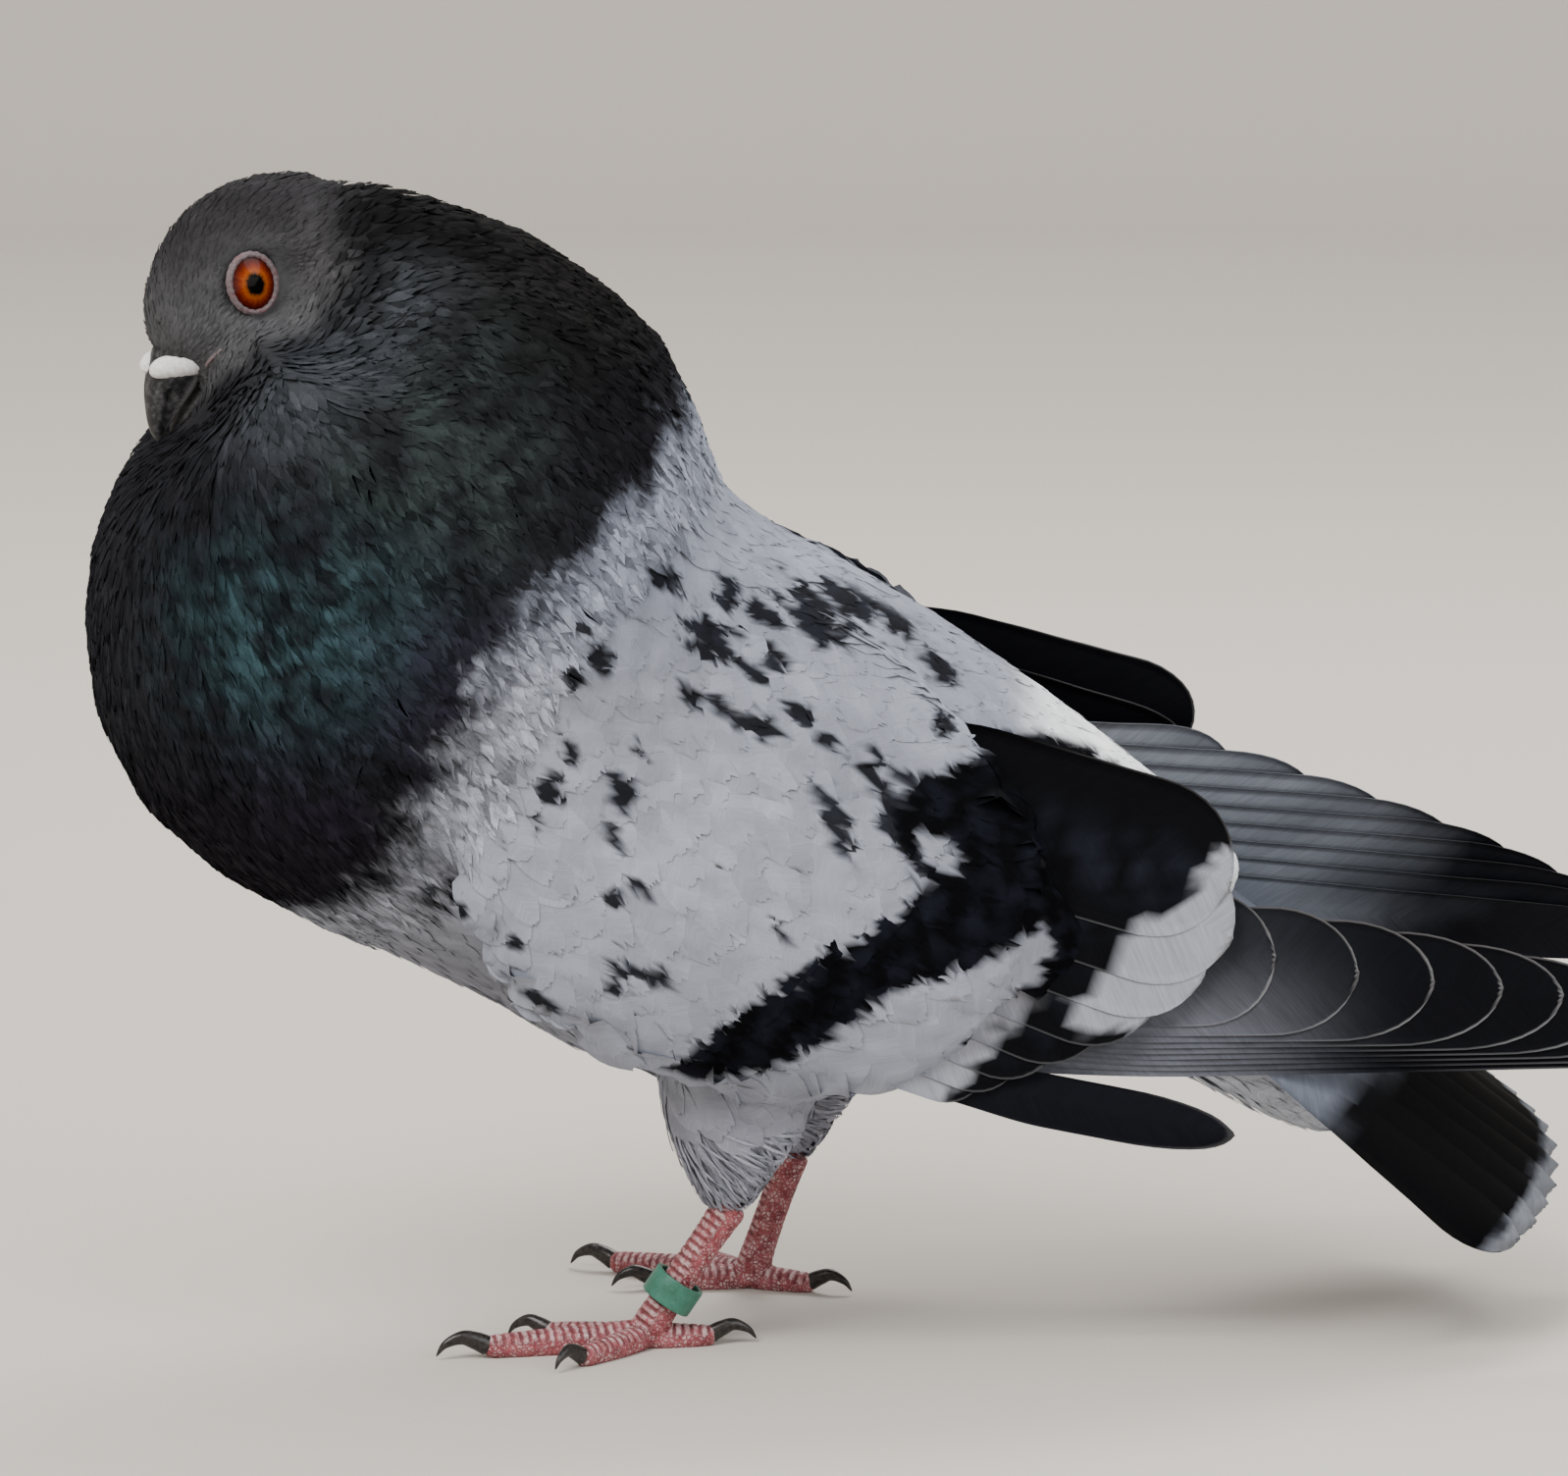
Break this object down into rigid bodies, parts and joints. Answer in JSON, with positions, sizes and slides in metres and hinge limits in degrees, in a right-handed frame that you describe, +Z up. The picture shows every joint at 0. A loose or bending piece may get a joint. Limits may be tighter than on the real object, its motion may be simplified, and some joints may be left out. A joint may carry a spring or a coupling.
{
  "type": "domestic pigeon",
  "caption": "Life-size still model of a grey barred pigeon in a strutting stance, crop blown up, head tucked, tail fanned and lowered, a plain ring on one leg.",
  "frame": {"origin": "middle of the footprint's bounding box, on the plane the soles rest on", "axes": "-X the way the bird faces, +X towards the tail, -Y the bird's left side, +Z up"},
  "size_m": [0.2884, 0.1388, 0.2086],
  "materials": {
    "head_plumage": "short dense feathers, slate grey",
    "neck_plumage": "dark feathers with a green and purple sheen",
    "body_plumage": "soft silver-grey feathers",
    "wing_feathers": "smooth blackish flight feathers with pale edges",
    "tail_feathers": "grey feathers with a broad black end band",
    "eye": "wet, clear cornea over an orange-red iris",
    "bill": "dark horn with a pale bloom",
    "cere": "powdery white skin",
    "foot_skin": "pinkish red scaled skin",
    "claw": "dark horn, slightly glossy",
    "leg_ring": "blue-green moulded ring, worn"
  },
  "bodies": {
    "root": {"head": "head_plumage", "neck": "neck_plumage", "trunk": "body_plumage", "eye_left": "eye", "eye_right": "eye", "bill_upper": "bill", "bill_lower": "bill", "cere_left": "cere", "cere_right": "cere", "tail": "tail_feathers", "wing_arm_left": "body_plumage", "wing_primaries_left": "wing_feathers", "wing_arm_right": "body_plumage", "wing_primaries_right": "wing_feathers", "wing_loose_feather_left": "wing_feathers", "thigh_left": "body_plumage", "foot_left": "foot_skin", "hind_claw_left": "claw", "inner_claw_left": "claw", "middle_claw_left": "claw", "outer_claw_left": "claw", "thigh_right": "body_plumage", "foot_right": "foot_skin", "hind_claw_right": "claw", "inner_claw_right": "claw", "middle_claw_right": "claw", "outer_claw_right": "claw", "leg_ring": "leg_ring"}
  },
  "joints": []
}
